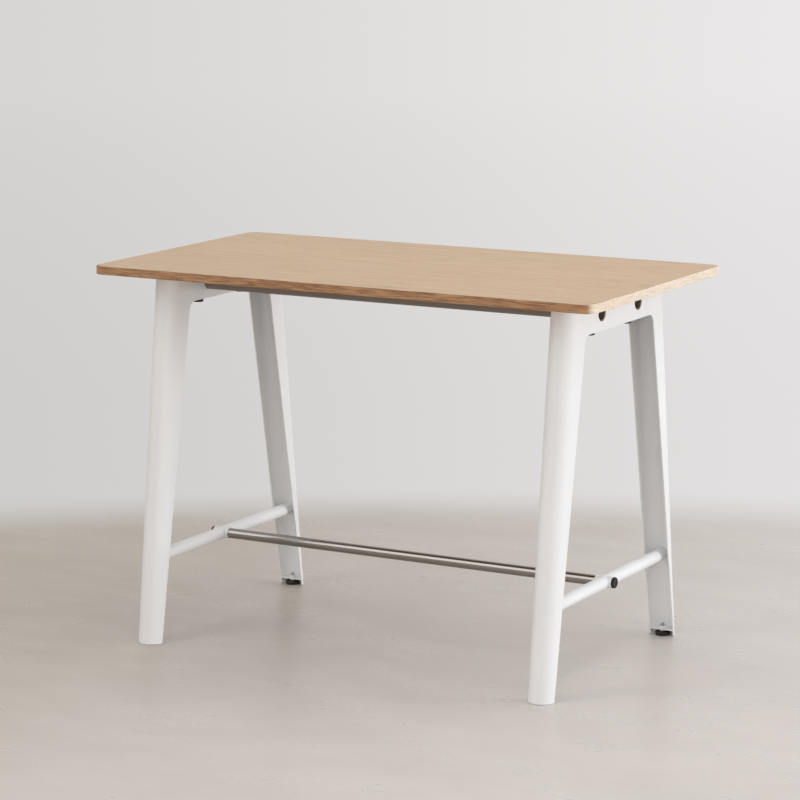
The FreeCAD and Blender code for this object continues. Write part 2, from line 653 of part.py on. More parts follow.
def levelling_stud(label, x, y):
    """Threaded stud with a hexagon that stops under the foot plate."""
    body = new_node(label)
    centre = ("0", "0")
    rod_bottom = "(dim.pad_height - dim.journal_depth)"
    top = "(dim.foot_plate_height + dim.foot_plate_thickness + dim.foot_stud_rise)"
    rod = new_sketch(body, "XY_Plane", "Rod", rod_bottom)
    add_circle(rod, centre, "dim.foot_stud_diameter")
    pad(body, rod, f"{top} - {rod_bottom}")
    hexagon = new_sketch(body, "XY_Plane", "Hexagon", "dim.pad_height")
    add_hexagon(hexagon, centre, "dim.foot_nut_across")
    pad(body, hexagon, "dim.foot_plate_height - dim.foot_stop_gap - dim.pad_height")
    place(body, x=x, y=y)


def levelling_pad(label, x, y):
    """Moulded disc with a blind bore in which the stud's end turns."""
    body = new_node(label)
    profile = new_sketch(body, "XZ_Plane", "Profile")
    rim = f"{PAD_DIAMETER} / 2"
    bore = "(dim.foot_stud_diameter / 2 + dim.journal_clearance)"
    bore_floor = "(dim.pad_height - dim.journal_depth)"
    add_outline(profile, [("0", "0"), (f"{rim} - dim.pad_heel", "0"),
                          (rim, "dim.pad_heel"), (rim, "dim.pad_height"),
                          (bore, "dim.pad_height"), (bore, bore_floor),
                          ("0", bore_floor)])
    revolve(body, profile)
    rim_radius = value(rim)
    top = value("dim.pad_height")
    fillet(body, lambda edge: isinstance(edge.Curve, Part.Circle)
           and is_near(edge.Curve.Radius, rim_radius)
           and is_near(edge.Curve.Center.z, top), "dim.pad_rounding")
    place(body, x=x, y=y)


# --- assembly and export -------------------------------------------------------------


def build():
    tabletop_panel()
    tabletop_edge_band()
    wood_screws()
    beam("front_beam", f"-{BEAM_REACH}")
    beam("rear_beam", BEAM_REACH)
    beam_saddle_nuts()
    beam_cap_studs()
    footrest()
    foot_weld_nuts()
    for side, sign in FRAMES:
        crossbar(f"{side}_crossbar", f"{sign}{HALF_SPACING}")
    for corner, x_sign, y_sign in CORNERS:
        x = f"{x_sign}{HALF_SPACING}"
        rotation = UPRIGHT if y_sign == "-" else HALF_TURN
        leg_shell(f"{corner}_leg_shell", x, rotation)
        foot_plate(f"{corner}_foot_plate", x, rotation)
        beam_bridge(f"{corner}_beam_bridge", x, f"{y_sign}{BEAM_REACH}")
        place(screw_cap(f"{corner}_beam_cap"), x=x, y=f"{y_sign}{BEAM_REACH}", z=CAP_LEVEL)
        levelling_stud(f"{corner}_levelling_stud", x, f"{y_sign}{FOOT_STUD_REACH}")
        levelling_pad(f"{corner}_levelling_pad", x, f"{y_sign}{FOOT_STUD_REACH}")


def check():
    doc.recompute()
    failed = [item.Label for item in doc.Objects
              if {"Invalid", "Error"} & set(item.State)]
    for body in nodes:
        if body.Shape.isNull() or not body.Shape.isValid():
            failed.append(body.Label)
    if failed:
        raise RuntimeError("failed: " + ", ".join(failed))


def export():
    os.makedirs("parts", exist_ok=True)
    for body in nodes:
        body.Shape.exportStep(os.path.join("parts", f"{body.Label}.step"))
        box = body.Shape.BoundBox
        print(f"{body.Label:32s} solids {len(body.Shape.Solids):2d}"
              f"  volume {body.Shape.Volume / 1000:9.2f} cm3"
              f"  x {box.XMin:8.2f} {box.XMax:8.2f}  y {box.YMin:8.2f} {box.YMax:8.2f}"
              f"  z {box.ZMin:7.2f} {box.ZMax:7.2f}")


fill_sheet()
build()
check()
export()
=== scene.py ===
"""Finishes, small turned pieces, stage and camera for the standing meeting table.

Lengths are metres in the table's own frame: +X to the right along the long side, +Y to the
rear, +Z up, and the origin on the floor at the middle.
"""

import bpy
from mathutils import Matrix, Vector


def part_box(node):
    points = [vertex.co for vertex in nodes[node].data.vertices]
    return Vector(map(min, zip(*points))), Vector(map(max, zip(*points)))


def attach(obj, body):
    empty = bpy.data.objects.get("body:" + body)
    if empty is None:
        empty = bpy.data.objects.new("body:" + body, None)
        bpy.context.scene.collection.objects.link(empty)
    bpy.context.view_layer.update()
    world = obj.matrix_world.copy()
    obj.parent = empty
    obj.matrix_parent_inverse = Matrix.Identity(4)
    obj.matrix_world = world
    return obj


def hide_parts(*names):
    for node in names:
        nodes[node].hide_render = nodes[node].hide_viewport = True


bl_info = {
    "name": "Standing meeting table",
    "version": (1, 0, 0),
    "blender": (4, 5, 0),
    "location": "View3D > Sidebar > Table",
    "description": "Builds the visible pieces and finishes of a standing meeting table",
    "category": "Object",
}

import math

import bpy
from bpy.props import FloatProperty, FloatVectorProperty, IntProperty, PointerProperty
from mathutils import Matrix, Vector

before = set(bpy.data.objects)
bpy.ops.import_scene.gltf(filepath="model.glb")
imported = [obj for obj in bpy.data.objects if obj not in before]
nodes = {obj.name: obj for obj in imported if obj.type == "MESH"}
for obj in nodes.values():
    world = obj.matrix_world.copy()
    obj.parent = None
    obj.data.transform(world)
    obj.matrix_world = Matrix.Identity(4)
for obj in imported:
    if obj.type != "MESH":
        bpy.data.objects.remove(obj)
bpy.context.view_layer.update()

MM = 0.001
SIDES = {"right": 1, "left": -1}
CORNERS = [f"{side}_{end}" for side in SIDES for end in ("front", "rear")]

# The tubes and legs that the weld beads follow.
BAR_RADIUS, SLEEVE_RADIUS = 15 * MM, 13.75 * MM
LEG_RADIUS, LEG_WALL = 32 * MM, 3 * MM
FOOT_REACH = 350 * MM  # From the table's middle to a leg's outer line, at the floor.
LEAN = 105 / 880  # Metres inwards for each metre up.

# The levelling feet, M8.
STUD_RADIUS, BORE_RADIUS = 4 * MM, 4.1 * MM
ACROSS_FLATS, NUT_HEIGHT = 13 * MM, 6.5 * MM
STOP_GAP = 0.3 * MM  # Between the stud's hexagon and the foot plate.

ROUND_SIDES = 36  # Sides of a stud and of a bore.
SLACK = 1e-6  # Within it, two heights count as one.
FLAT = 0.9  # From this upright part of its normal on, a face counts as level.

# Level directions from the table towards the backdrop and towards the window.
TO_BACKDROP, TO_WINDOW = (-0.49, 0.87, 0), (0.87, 0.49, 0)


def middle(node):
    low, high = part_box(node)
    return (low + high) / 2


def linear(hex_colour):
    """An sRGB hex colour as linear red, green and blue."""
    levels = [int(hex_colour[i:i + 2], 16) / 255 for i in (1, 3, 5)]
    return tuple(s / 12.92 if s <= 0.04045 else ((s + 0.055) / 1.055) ** 2.4 for s in levels)


# --- settings ------------------------------------------------------------------------


def colour(name, description, hex_colour):
    return FloatVectorProperty(name=name, description=description, subtype="COLOR", size=3,
                               min=0, max=1, default=linear(hex_colour))


def length(name, description, metres):
    return FloatProperty(name=name, description=description, subtype="DISTANCE",
                         unit="LENGTH", min=0, precision=5, default=metres)


def power(name, description, watts):
    return FloatProperty(name=name, description=description, subtype="POWER", unit="POWER",
                         min=0, default=watts)


def angle(name, description, radians):
    return FloatProperty(name=name, description=description, subtype="ANGLE",
                         unit="ROTATION", default=radians)


class TableFinishes(bpy.types.PropertyGroup):
    oak_light: colour("Oak, early wood", "Lighter bands of the veneer", "#CDB28F")
    oak_dark: colour("Oak, late wood", "Darker bands of the veneer", "#B6936F")
    oak_pore: colour("Oak pores", "Open pores of the veneer", "#856244")
    # The long strips' tones are drawn darker than the oak as painted shade of the front edge; the
    # short strips' pale tones are a painted sheen of the window light.
    shaded_edge_light: colour("Edge strip, light", "Light grain of the long edge strips", "#B48A62")
    shaded_edge_dark: colour("Edge strip, dark", "Dark grain of the long edge strips", "#7C5335")
    sheen_end_light: colour("End strip, light", "Light grain of the short edge strips", "#EADDCE")
    sheen_end_dark: colour("End strip, dark", "Dark grain of the short edge strips", "#D5C1A7")
    white_coat: colour("White powder coat", "Legs, aprons and crossbars", "#E9EAEB")
    taupe_coat: colour("Taupe powder coat", "Beams under the top", "#766B62")
    stainless: colour("Stainless steel", "Footrest tube", "#96908A")
    zinc: colour("Zinc plate", "Screws, studs and nuts", "#C9C8C4")
    black_nylon: colour("Black nylon", "Screw caps and levelling pads", "#0E0E0E")


class TableDetails(bpy.types.PropertyGroup):
    cap_flutes: IntProperty(name="Cap flutes", description="Finger grooves round a screw cap",
                            min=6, max=60, default=30)
    cap_flute_depth: length("Flute depth", "Depth of a finger groove", 0.4 * MM)
    cap_dish: length("Cap dish", "Depth of the shallow dish in a cap's face", 0.5 * MM)
    thread_pitch: length("Thread pitch", "Rise of the stud's thread in one turn", 1.25 * MM)
    thread_depth: length("Thread depth", "Crest to root of the stud's thread", 0.67 * MM)
    bead_radius: length("Weld bead", "Radius of the weld beads on the tubes", 1.7 * MM)


class TableStage(bpy.types.PropertyGroup):
    floor: colour("Floor", "Plain pale floor under the table", "#D4CDC8")
    floor_far: colour("Floor, far from the window", "Tone at the left and behind", "#B2A79A")
    backdrop: colour("Backdrop", "Pale tone behind the table", "#EBE9E9")
    backdrop_far: colour("Backdrop, far from the window", "Tone at the left", "#D6D4D2")
    ambient_tone: colour("Ambient tone", "Tone of the sky light", "#FFFDFB")
    window_tone: colour("Window tone", "Tone of the window light", "#F8FBFF")
    fill_tone: colour("Fill tone", "Tone of the fill light", "#FFFBF5")
    ambient: FloatProperty(name="Ambient", description="Strength of the sky light", min=0,
                           default=0.72)
    key_power: power("Window light", "Tall soft light on the right", 590)
    top_power: power("Top light", "Wide soft light above, at right", 30)
    fill_power: power("Fill light", "Soft light low in front", 38)
    side_power: power("Side light", "Soft light from the front left", 34)
    gloss_power: power("Gloss light", "Tall light that shows only in metal and in a coat's "
                       "shine", 73)
    lens: FloatProperty(name="Lens", description="Focal length of the camera",
                        subtype="DISTANCE_CAMERA", min=1, default=133.25)
    heading: angle("Heading", "Camera's turn to the left of +Y", 0.51305)
    dip: angle("Dip", "Camera's angle below the horizon", 0.18536)
    tilt: angle("Tilt", "Camera's roll about its own axis", -0.00297)
    stand: FloatVectorProperty(name="Camera", description="Place of the camera",
                               subtype="TRANSLATION", unit="LENGTH", size=3,
                               default=(3.35225, -5.98247, 1.86588))


# --- node trees ----------------------------------------------------------------------


def add_node(tree, kind, links=None, **settings):
    """A node with its settings; links gives each input a socket to join or a value."""
    made = tree.nodes.new(kind)
    for name, setting in settings.items():
        setattr(made, name, setting)
    for name, source in (links or {}).items():
        if isinstance(source, bpy.types.NodeSocket):
            tree.links.new(source, made.inputs[name])
        else:
            made.inputs[name].default_value = source
    return made


def maths(tree, operation, *values):
    """What an operation makes of sockets and numbers."""
    return add_node(tree, "ShaderNodeMath", dict(enumerate(values)),
                    operation=operation).outputs[0]


def vector_maths(tree, operation, *values):
    """The same for vectors; a dot product or a length comes out as a number."""
    made = add_node(tree, "ShaderNodeVectorMath", dict(enumerate(values)),
                    operation=operation)
    return made.outputs["Value" if operation in ("DOT_PRODUCT", "LENGTH") else "Vector"]


def part_way(tree, value, start_at, end_at, how="SMOOTHSTEP"):
    """0 to 1 while a value goes from one level to the other."""
    return add_node(tree, "ShaderNodeMapRange",
                    {"Value": value, "From Min": start_at, "From Max": end_at},
                    interpolation_type=how).outputs[0]


def axis_part(tree, place, axis):
    return add_node(tree, "ShaderNodeSeparateXYZ", {"Vector": place}).outputs[axis]


def own_place(tree):
    """Place on the piece in metres, on its own axes."""
    return add_node(tree, "ShaderNodeTexCoord").outputs["Object"]


def grain(tree, per_metre, place=None, **settings):
    """Noise whose cells are 1 / per_metre long on each axis of the piece."""
    place = own_place(tree) if place is None else place
    stretch = add_node(tree, "ShaderNodeMapping", {"Vector": place, "Scale": per_metre})
    return add_node(tree, "ShaderNodeTexNoise",
                    {"Vector": stretch.outputs[0], "Scale": 1.0, **settings}).outputs[0]


def ramp(tree, source, stops):
    """A colour or grey level for each value of a socket."""
    made = add_node(tree, "ShaderNodeValToRGB", {"Fac": source})
    for element, (position, tone) in zip(made.color_ramp.elements, stops):
        element.position = position
        element.color = (tone, tone, tone, 1) if isinstance(tone, float) else opaque(tone)
    return made.outputs[0]


def blend(tree, factor, first, second, how="MIX"):
    return add_node(tree, "ShaderNodeMixRGB",
                    {"Fac": factor, "Color1": first, "Color2": second},
                    blend_type=how).outputs[0]


def shade(tree, tone, source, stops):
    """A tone times the grey level that a socket gives."""
    return blend(tree, 1.0, tone, ramp(tree, source, stops), "MULTIPLY")


def bump(tree, height, strength, distance=0.2 * MM, invert=False):
    return add_node(tree, "ShaderNodeBump", {"Strength": strength, "Distance": distance,
                                             "Height": height}, invert=invert).outputs[0]


def opaque(tone):
    return (*tone, 1)


def new_material(name):
    material = bpy.data.materials.new(name)
    material.use_nodes = True
    material.node_tree.nodes.clear()
    return material, material.node_tree


def finish_material(tree, **shader):
    """The closing shader; names of its inputs are given with underscores."""
    links = {name.replace("_", " "): source for name, source in shader.items()}
    body = add_node(tree, "ShaderNodeBsdfPrincipled", links)
    add_node(tree, "ShaderNodeOutputMaterial", {"Surface": body.outputs[0]})


# --- finishes ------------------------------------------------------------------------

COAT_IOR, NYLON_IOR = 1.5, 1.53
PORE_BUMP = 0.25


def stain(tree, wood, mask, tone):
    """A dark tone over the wood where the mask is white, at 45 percent."""
    return blend(tree, maths(tree, "MULTIPLY", mask, 0.45), wood, opaque(tone))


def matt_lacquered_oak_veneer(look):
    """Crown-cut oak veneer under matt lacquer: long bands of early and late wood, fine open
    pores, and leaves 175 mm wide that are matched edge to edge and differ a little."""
    material, tree = new_material("matt_lacquered_oak_veneer")
    place = own_place(tree)
    # The grain wanders by some 20 mm over half a metre.
    drift = maths(tree, "MULTIPLY", grain(tree, (1.5, 4.5, 1.0), place, Detail=1.5), 0.06)
    offset = add_node(tree, "ShaderNodeCombineXYZ", {"Y": drift}).outputs[0]
    wandered = vector_maths(tree, "ADD", place, offset)
    # Growth bands are 4 to 12 mm wide on the face and run for 200 to 400 mm.
    bands = grain(tree, (3.4, 110.0, 20.0), wandered, Detail=6.0, Roughness=0.7)
    wood = ramp(tree, bands, [(0.26, look.oak_dark), (0.66, look.oak_light)])
    # Dark streaks of late wood, 2 to 5 mm wide and 50 to 120 mm long.
    streaks = grain(tree, (10.0, 230.0, 230.0), wandered, Detail=4.0, Roughness=0.62)
    wood = stain(tree, wood, ramp(tree, streaks, [(0.52, 0.0), (0.68, 1.0)]), look.oak_pore)
    # Broad clouds, 40 to 90 mm wide, keep the face from looking printed.
    clouds = grain(tree, (1.1, 15.0, 1.0), wandered, Detail=2.0)
    wood = shade(tree, wood, clouds, [(0.25, 0.95), (0.75, 1.0)])
    # Each leaf has its own tone, within 3 percent.
    leaf_width = 175 * MM
    leaf = maths(tree, "FLOOR", maths(tree, "DIVIDE", axis_part(tree, place, "Y"), leaf_width))
    chance = add_node(tree, "ShaderNodeTexWhiteNoise", {"W": leaf},
                      noise_dimensions="1D").outputs["Value"]
    wood = shade(tree, wood, chance, [(0.0, 0.97), (1.0, 1.0)])
    # Pores are 0.3 mm wide on the real face; drawn 1 mm wide and 40 mm long, so that they show.
    pores = grain(tree, (22.0, 950.0, 950.0), wandered, Detail=2.0, Roughness=0.7)
    pores = ramp(tree, pores, [(0.58, 0.0), (0.74, 1.0)])
    wood = stain(tree, wood, pores, look.oak_pore)
    finish_material(tree, Base_Color=wood, IOR=COAT_IOR,
                    Roughness=ramp(tree, bands, [(0.3, 0.46), (0.7, 0.40)]),
                    Normal=bump(tree, pores, PORE_BUMP, invert=True))
    return material


def matt_lacquered_oak_strip(look):
    """Oak edge strips, straight-grained: lines 1 to 3 mm apart that run along the edge all
    the way round. The long strips are drawn darker than the face as painted shade, and the
    short ones paler as a painted sheen of the window light; each pair meets in the rounded
    corners."""
    material, tree = new_material("matt_lacquered_oak_strip")
    place = own_place(tree)
    lines = grain(tree, (22.0, 22.0, 380.0), place, Detail=4.0, Roughness=0.65)
    # Painted light: the long strips get a darker tone of painted shade and the short strips a
    # paler tone of painted sheen.
    shaded_long_strip, sheen_end_strip = (ramp(tree, lines, [(0.36, dark), (0.62, light)])
                             for dark, light in ((look.shaded_edge_dark, look.shaded_edge_light),
                                                 (look.sheen_end_dark, look.sheen_end_light)))
    # The strips meet 3 to 16 mm inwards of the top's ends.
    reach = maths(tree, "ABSOLUTE", axis_part(tree, place, "X"))
    wood = blend(tree, part_way(tree, reach, 0.634, 0.647), shaded_long_strip, sheen_end_strip)
    # Flecks of pore, 15 mm long and 1 mm high.
    pores = grain(tree, (70.0, 70.0, 1000.0), place, Detail=2.0)
    pores = ramp(tree, pores, [(0.58, 0.0), (0.72, 1.0)])
    wood = stain(tree, wood, pores, look.oak_pore)
    finish_material(tree, Base_Color=wood, Roughness=0.42, IOR=COAT_IOR,
                    Normal=bump(tree, pores, PORE_BUMP, invert=True))
    return material


def powder_coat(name, tone, roughness):
    """Polyester powder, sprayed and baked on steel: a satin skin with orange peel and faint
    clouds, 250 mm across. The peel is 1.5 mm across on the real coat and drawn at 3 mm, so
    that it shows."""
    material, tree = new_material(name)
    clouds = grain(tree, (4.0, 4.0, 4.0), Detail=2.0)
    coat = shade(tree, opaque(tone), clouds, [(0.3, 0.965), (0.7, 1.0)])
    peel = grain(tree, (330.0, 330.0, 330.0), Detail=1.0)
    gloss = ramp(tree, peel, [(0.3, roughness - 0.03), (0.7, roughness + 0.03)])
    finish_material(tree, Base_Color=coat, Roughness=gloss, IOR=COAT_IOR,
                    Normal=bump(tree, peel, 0.10))
    return material


def ground_stainless_tube(look):
    """Stainless tube, belt-ground round and then polished: fine rings round the tube, 0.3 mm
    apart and drawn 1 mm apart, that pull a highlight out across the tube."""
    material, tree = new_material("ground_stainless_tube")
    rings = grain(tree, (1000.0, 25.0, 25.0), Detail=3.0, Roughness=0.7)
    steel = shade(tree, opaque(look.stainless), rings, [(0.3, 0.95), (0.7, 1.0)])
    gloss = ramp(tree, rings, [(0.3, 0.18), (0.7, 0.24)])
    finish_material(tree, Base_Color=steel, Metallic=1.0, Roughness=gloss,
                    Normal=bump(tree, rings, 0.05, distance=0.1 * MM))
    return material


def bright_zinc_plate(look):
    """Zinc plated and passivated steel: pale, a little blue, with soft patches of gloss, some
    6 mm across."""
    material, tree = new_material("bright_zinc_plate")
    patches = grain(tree, (160.0, 160.0, 160.0), Detail=3.0)
    plate = shade(tree, opaque(look.zinc), patches, [(0.3, 0.86), (0.7, 1.0)])
    gloss = ramp(tree, patches, [(0.3, 0.40), (0.7, 0.26)])
    finish_material(tree, Base_Color=plate, Metallic=1.0, Roughness=gloss)
    return material


def moulded_black_nylon(look):
    """Injection-moulded nylon: black, scuffed in patches 11 mm across, with the fine spark
    texture of its mould, 0.4 mm on the real piece and drawn at 1 mm."""
    material, tree = new_material("moulded_black_nylon")
    scuffs = grain(tree, (90.0, 90.0, 90.0), Detail=3.0)
    nylon = shade(tree, opaque(look.black_nylon), scuffs, [(0.35, 0.75), (0.75, 1.0)])
    spark = grain(tree, (1000.0, 1000.0, 1000.0), Detail=2.0)
    gloss = ramp(tree, spark, [(0.3, 0.48), (0.7, 0.60)])
    finish_material(tree, Base_Color=nylon, Roughness=gloss, IOR=NYLON_IOR,
                    Normal=bump(tree, spark, 0.2))
    return material


finishes = {}


def finish(slot):
    """A finish by the name of its material slot, made on first use."""
    look = bpy.context.scene.table_finishes
    makers = {
        "oak_veneer": lambda: matt_lacquered_oak_veneer(look),
        "oak_edge_band": lambda: matt_lacquered_oak_strip(look),
        "white_powder_coat": lambda: powder_coat("satin_white_powder_coat",
                                                 look.white_coat, 0.36),
        "taupe_powder_coat": lambda: powder_coat("satin_taupe_powder_coat",
                                                 look.taupe_coat, 0.42),
        "brushed_stainless": lambda: ground_stainless_tube(look),
        "zinc_plated_steel": lambda: bright_zinc_plate(look),
        "black_moulded_plastic": lambda: moulded_black_nylon(look),
    }
    if slot not in finishes:
        finishes[slot] = makers[slot]()
    return finishes[slot]


def coat_node(node, slot):
    """Give a CAD node its finish."""
    for material_slot in nodes[node].material_slots:
        material_slot.material = finish(slot)


# --- modelling -----------------------------------------------------------------------


def start(name):
    """Name the active piece."""
    piece = bpy.context.active_object
    piece.name = piece.data.name = name
    return piece


def select_only(*pieces):
    """Select these pieces alone and make the first one active."""
    bpy.ops.object.select_all(action="DESELECT")
    for piece in pieces:
        piece.select_set(True)
    if pieces:
        bpy.context.view_layer.objects.active = pieces[0]


def apply_place():
    """Put the selected pieces' places into their meshes."""
    bpy.ops.object.transform_apply(location=True, rotation=True, scale=True)


def cylinder(name, sides, radius, bottom, top, turn=0, ends="NGON"):
    """A cylinder or prism on the frame's upright axis."""
    select_only()
    bpy.ops.mesh.primitive_cylinder_add(vertices=sides, radius=radius, depth=top - bottom,
                                        end_fill_type=ends, rotation=(0, 0, turn),
                                        location=(0, 0, (top + bottom) / 2))
    piece = start(name)
    apply_place()
    return piece


def select_parts(piece, kind, test):
    """In edit mode, select the faces or edges that pass a test."""
    bpy.ops.mesh.select_mode(type=kind)
    bpy.ops.mesh.select_all(action="DESELECT")
    bpy.ops.object.mode_set(mode="OBJECT")
    for part in piece.data.polygons if kind == "FACE" else piece.data.edges:
        part.select = bool(test(part))
    bpy.ops.object.mode_set(mode="EDIT")


def edge_ends(piece, edge):
    return [piece.data.vertices[index].co for index in edge.vertices]


def is_level(piece, edge):
    first, second = edge_ends(piece, edge)
    return abs(first.z - second.z) < SLACK


def round_edges(width, segments):
    """In edit mode, round the selected edges."""
    bpy.ops.mesh.bevel(offset=width, segments=segments, profile=0.5, affect="EDGES")


def pull_up(height):
    """In edit mode, extrude the selected faces upwards."""
    bpy.ops.mesh.extrude_region_move(TRANSFORM_OT_translate={"value": (0, 0, height)})


def face_outwards():
    """In edit mode, make all faces look outwards."""
    bpy.ops.mesh.select_all(action="SELECT")
    bpy.ops.mesh.normals_make_consistent(inside=False)


def draw_in(vertex, factor):
    """Move a vertex towards the upright axis."""
    vertex.co.x *= factor
    vertex.co.y *= factor


def settle(piece, body, slot, replaced=()):
    """Put a finished piece's place into its mesh, coat it and hang it on its body."""
    select_only(piece)
    apply_place()
    bpy.ops.object.shade_smooth_by_angle(angle=math.radians(35))
    piece.data.materials.clear()
    piece.data.materials.append(finish(slot))
    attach(piece, body)
    if replaced:
        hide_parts(*replaced)


def copy_of(piece, name, matrix):
    """A copy with its own mesh, moved by a matrix."""
    twin = piece.copy()
    twin.data = piece.data.copy()
    twin.name = twin.data.name = name
    bpy.context.scene.collection.objects.link(twin)
    twin.matrix_world = matrix
    return twin


def discard(piece):
    bpy.data.objects.remove(piece, do_unlink=True)


def join(pieces, name):
    select_only(*pieces)
    bpy.ops.object.join()
    return start(name)


def bead(path, radius):
    """A weld bead with ripples along a closed path.

    path(turn) gives a point of the path and the two directions square to it.
    """
    segments, ripple_height = 96, 0.07
    ripples = segments // 3
    select_only()
    bpy.ops.mesh.primitive_torus_add(major_segments=segments, minor_segments=10,
                                     major_radius=1, minor_radius=0.25)
    piece = start("bead")
    for vertex in piece.data.vertices:
        turn = math.atan2(vertex.co.y, vertex.co.x)
        round_ring = math.atan2(vertex.co.z, math.hypot(vertex.co.x, vertex.co.y) - 1)
        point, out, along = path(turn)
        size = radius * (1 + ripple_height * math.sin(ripples * turn))
        vertex.co = point + size * (math.cos(round_ring) * out + math.sin(round_ring) * along)
    bpy.ops.object.mode_set(mode="EDIT")
    face_outwards()
    bpy.ops.object.mode_set(mode="OBJECT")
    return piece


def leg_path(centre, y_sign):
    """The line on which a crossbar's end meets the inside of a leg."""
    def at(turn):
        across, rise = math.cos(turn), math.sin(turn)
        height = centre.z + BAR_RADIUS * rise
        inner = LEG_RADIUS - math.sqrt((LEG_RADIUS - LEG_WALL) ** 2
                                       - (BAR_RADIUS * across) ** 2)
        reach = FOOT_REACH - LEAN * height - inner * math.hypot(1, LEAN)
        point = Vector((centre.x + BAR_RADIUS * across, y_sign * reach, height))
        return point, Vector((across, 0, rise)), Vector((0, y_sign, 0))
    return at


def sleeve_path(centre, x_sign):
    """The line on which a footrest sleeve comes out of a crossbar."""
    def at(turn):
        across, rise = math.cos(turn), math.sin(turn)
        reach = math.sqrt(BAR_RADIUS ** 2 - (SLEEVE_RADIUS * rise) ** 2)
        point = Vector((centre.x + x_sign * reach, SLEEVE_RADIUS * across,
                        centre.z + SLEEVE_RADIUS * rise))
        return point, Vector((0, across, rise)), Vector((x_sign, 0, 0))
    return at


def cluster_middles(levels, least_gap):
    """Middles of the clusters that sorted levels fall into."""
    clusters = [[levels[0]]]
    for level in levels[1:]:
        if level - clusters[-1][-1] < least_gap:
            clusters[-1].append(level)
        else:
            clusters.append([level])
    return [(cluster[0] + cluster[-1]) / 2 for cluster in clusters]


# --- pieces --------------------------------------------------------------------------


class TABLE_OT_tabletop(bpy.types.Operator):
    """Veneer the board and band its edge"""
    bl_idname = "table.tabletop"
    bl_label = "Tabletop"

    def execute(self, context):
        coat_node("tabletop_panel", "oak_veneer")
        coat_node("tabletop_edge_band", "oak_edge_band")
        return {"FINISHED"}


class TABLE_OT_tabletop_screws(bpy.types.Operator):
    """Twelve pan-head screws with a cross recess, up through the beams' flanges"""
    bl_idname = "table.tabletop_screws"
    bl_label = "Tabletop screws"

    def execute(self, context):
        head_radius, head_height, head_rounding = 5 * MM, 2.8 * MM, 1.7 * MM
        shank_radius = 2.25 * MM
        low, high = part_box("tabletop_screws")
        screw = cylinder("pan_head_screw", 40, head_radius, -head_height / 2, head_height / 2)
        bpy.ops.object.mode_set(mode="EDIT")
        select_parts(screw, "EDGE", lambda edge: all(
            co.z < 0 for co in edge_ends(screw, edge)))
        round_edges(head_rounding, 5)
        select_parts(screw, "FACE", lambda face: face.normal.z > FLAT)
        bpy.ops.mesh.inset(thickness=head_radius - shank_radius)
        pull_up(high.z - low.z - head_height)
        bpy.ops.object.mode_set(mode="OBJECT")
        for turn in (0, math.pi / 2):
            self.cut_recess(screw, -head_height / 2, turn)
        # The screws stand in lines along the beams; the CAD screws give the lines.
        lines = sorted({round(vertex.co.y, 4) for vertex in nodes["tabletop_screws"].data.vertices
                        if abs(vertex.co.z - low.z) < 0.01 * MM})
        reach = high.x - head_radius
        screws = [copy_of(screw, "screw", Matrix.Translation((x, y, low.z + head_height / 2)))
                  for x in (-reach, 0, reach) for y in cluster_middles(lines, 8 * MM)]
        discard(screw)
        settle(join(screws, "pan_head_screws"), "table", "zinc_plated_steel",
               ["tabletop_screws"])
        return {"FINISHED"}

    def cut_recess(self, screw, face, turn):
        """One slot of the cross, 5.2 by 1.1 mm and 1.3 mm deep."""
        bpy.ops.mesh.primitive_cube_add(size=1, location=(0, 0, face), rotation=(0, 0, turn))
        cutter = start("recess")
        cutter.scale = (5.2 * MM, 1.1 * MM, 2 * 1.3 * MM)
        select_only(screw)
        cut = screw.modifiers.new("recess", "BOOLEAN")
        cut.operation = "DIFFERENCE"
        cut.object = cutter
        bpy.ops.object.modifier_apply(modifier=cut.name)
        discard(cutter)


class TABLE_OT_end_frames(bpy.types.Operator):
    """Powder coat the leg shells, crossbars, sleeves and welded plates"""
    bl_idname = "table.end_frames"
    bl_label = "End frames"

    def execute(self, context):
        for side in SIDES:
            coat_node(f"{side}_crossbar", "white_powder_coat")
            coat_node(f"{side}_footrest_sleeve", "white_powder_coat")
        for corner in CORNERS:
            for piece in ("leg_shell", "foot_plate", "beam_bridge"):
                coat_node(f"{corner}_{piece}", "white_powder_coat")
        return {"FINISHED"}


class TABLE_OT_weld_beads(bpy.types.Operator):
    """Weld beads where the crossbars meet the legs and the sleeves meet the crossbars"""
    bl_idname = "table.weld_beads"
    bl_label = "Weld beads"

    def execute(self, context):
        leg_bead = context.scene.table_details.bead_radius
        sleeve_bead = leg_bead * 0.8
        for side in SIDES:
            centre = middle(f"{side}_crossbar")
            beads = [bead(path(centre, sign), radius)
                     for path, radius in ((leg_path, leg_bead), (sleeve_path, sleeve_bead))
                     for sign in (-1, 1)]
            settle(join(beads, f"{side}_frame_weld_beads"), "table", "white_powder_coat")
        return {"FINISHED"}


class TABLE_OT_beams(bpy.types.Operator):
    """Coat the two beams and plate the saddle nuts and studs inside them"""
    bl_idname = "table.beams"
    bl_label = "Beams"

    def execute(self, context):
        for node in ("front_beam", "rear_beam"):
            coat_node(node, "taupe_powder_coat")
        for node in ("beam_saddle_nuts", "beam_cap_studs"):
            coat_node(node, "zinc_plated_steel")
        return {"FINISHED"}


class TABLE_OT_footrest(bpy.types.Operator):
    """Grind the footrest tube and plate its plugs and studs"""
    bl_idname = "table.footrest"
    bl_label = "Footrest"

    def execute(self, context):
        coat_node("footrest_tube", "brushed_stainless")
        for side in SIDES:
            coat_node(f"{side}_footrest_plug", "zinc_plated_steel")
            coat_node(f"{side}_footrest_stud", "zinc_plated_steel")
        return {"FINISHED"}


